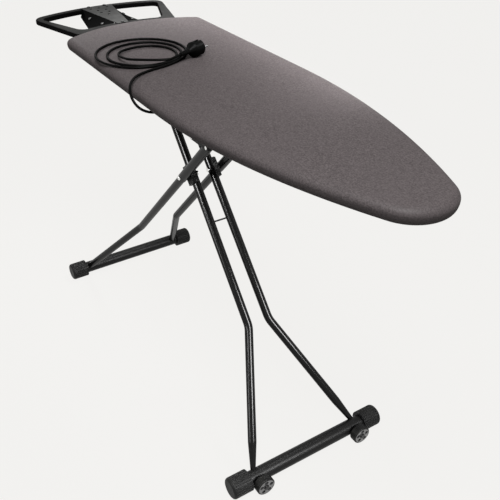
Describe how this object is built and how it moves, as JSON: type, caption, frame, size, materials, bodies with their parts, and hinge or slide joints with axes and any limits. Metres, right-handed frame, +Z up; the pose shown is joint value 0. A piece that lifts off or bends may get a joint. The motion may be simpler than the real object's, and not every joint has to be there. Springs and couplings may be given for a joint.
{
  "type": "ironing board",
  "caption": "Folding ironing board with a padded cloth cover on a perforated deck, crossed tube legs with foot bars and wheels, an iron rest, a height lock and a coiled mains lead.",
  "frame": {"origin": "on the floor, midway between the nose and the back of the iron rest", "axes": "+X towards the nose, +Y to the left, +Z up"},
  "size_m": [1.48, 0.464, 0.9471],
  "materials": {
    "cover_cloth": "fine woven taupe cloth, matt",
    "pad_felt": "pale felt",
    "deck_enamel": "black powder coat on pressed steel",
    "elastic_tape": "white woven elastic",
    "leg_black": "black gloss powder coat on steel tube",
    "zinc_steel": "zinc-plated steel",
    "spring_steel": "plain spring steel",
    "bright_steel": "bright plated steel",
    "black_steel": "black-plated steel",
    "black_plastic": "black moulded plastic",
    "bridge_enamel": "satin black enamel on pressed steel",
    "cord_black": "black flexible PVC",
    "hub_plastic": "dark grey moulded plastic",
    "tyre_black": "black rubber"
  },
  "bodies": {
    "board": {"cover": "cover_cloth", "pad": "pad_felt", "deck": "deck_enamel", "rim_frame": "deck_enamel", "hem_elastic": "elastic_tape", "hinge_bracket": "zinc_steel", "hinge_rod": "zinc_steel", "slide_rail_left": "zinc_steel", "slide_rail_right": "zinc_steel", "lock_bracket": "zinc_steel", "lock_pin": "zinc_steel", "lock_spring": "spring_steel", "rest_frame": "black_plastic", "rest_bridge": "bridge_enamel", "bridge_straps": "bridge_enamel", "bridge_screws": "bright_steel", "rest_screws": "black_steel", "rest_carrier_left": "zinc_steel", "rest_carrier_right": "zinc_steel", "socket_housing": "black_plastic", "socket_face": "black_plastic", "socket_screws": "bright_steel", "cable_gland": "black_plastic", "mains_lead": "cord_black", "lead_coil": "cord_black", "plug_body": "cord_black", "plug_pins": "bright_steel"},
    "front_leg": {"front_tube_left": "leg_black", "front_tube_right": "leg_black", "hinge_bushes": "black_plastic", "cross_wire": "leg_black", "pivot_saddle_left": "black_plastic", "pivot_saddle_right": "black_plastic", "pivot_pins": "bright_steel", "front_foot_bar": "leg_black", "front_cap_left": "black_plastic", "front_cap_right": "black_plastic", "wheel_axles": "black_steel"},
    "rear_leg": {"rear_tube_left": "leg_black", "rear_tube_right": "leg_black", "rear_sleeve_left": "leg_black", "rear_sleeve_right": "leg_black", "slide_rod": "zinc_steel", "slide_shoes": "black_plastic", "rear_foot_bar": "leg_black", "rear_cap_left": "black_plastic", "rear_cap_right": "black_plastic"},
    "wheel_left": {"wheel_hub_left": "hub_plastic", "wheel_tyre_left": "tyre_black"},
    "wheel_right": {"wheel_hub_right": "hub_plastic", "wheel_tyre_right": "tyre_black"},
    "lock": {"lock_rack": "zinc_steel", "release_bar": "zinc_steel", "release_grip": "black_plastic"}
  },
  "joints": [
    {"name": "front_leg_fold", "type": "hinge", "parent": "board", "child": "front_leg", "pos_m": [-0.28323, 0, 0.852], "axis": [0, -1, 0], "range_deg": [0, 47]},
    {"name": "rear_leg_fold", "type": "hinge", "parent": "front_leg", "child": "rear_leg", "pos_m": [-0.079, 0, 0.615], "axis": [0, 1, 0], "range_deg": [0, 90.5]},
    {"name": "wheel_left_spin", "type": "hinge", "parent": "front_leg", "child": "wheel_left", "pos_m": [0.4611, 0.152, 0.028], "axis": [1, 0, 0], "continuous": true},
    {"name": "wheel_right_spin", "type": "hinge", "parent": "front_leg", "child": "wheel_right", "pos_m": [0.4611, -0.152, 0.028], "axis": [1, 0, 0], "continuous": true},
    {"name": "lock_tilt", "type": "hinge", "parent": "board", "child": "lock", "pos_m": [0.43215, 0, 0.8798], "axis": [0, 1, 0], "range_deg": [-2.8, 0], "deforming": ["lock_spring"]}
  ],
  "couplings": [
    {"joint": "rear_leg_fold", "follows": "front_leg_fold", "ratio": 1.923}
  ]
}
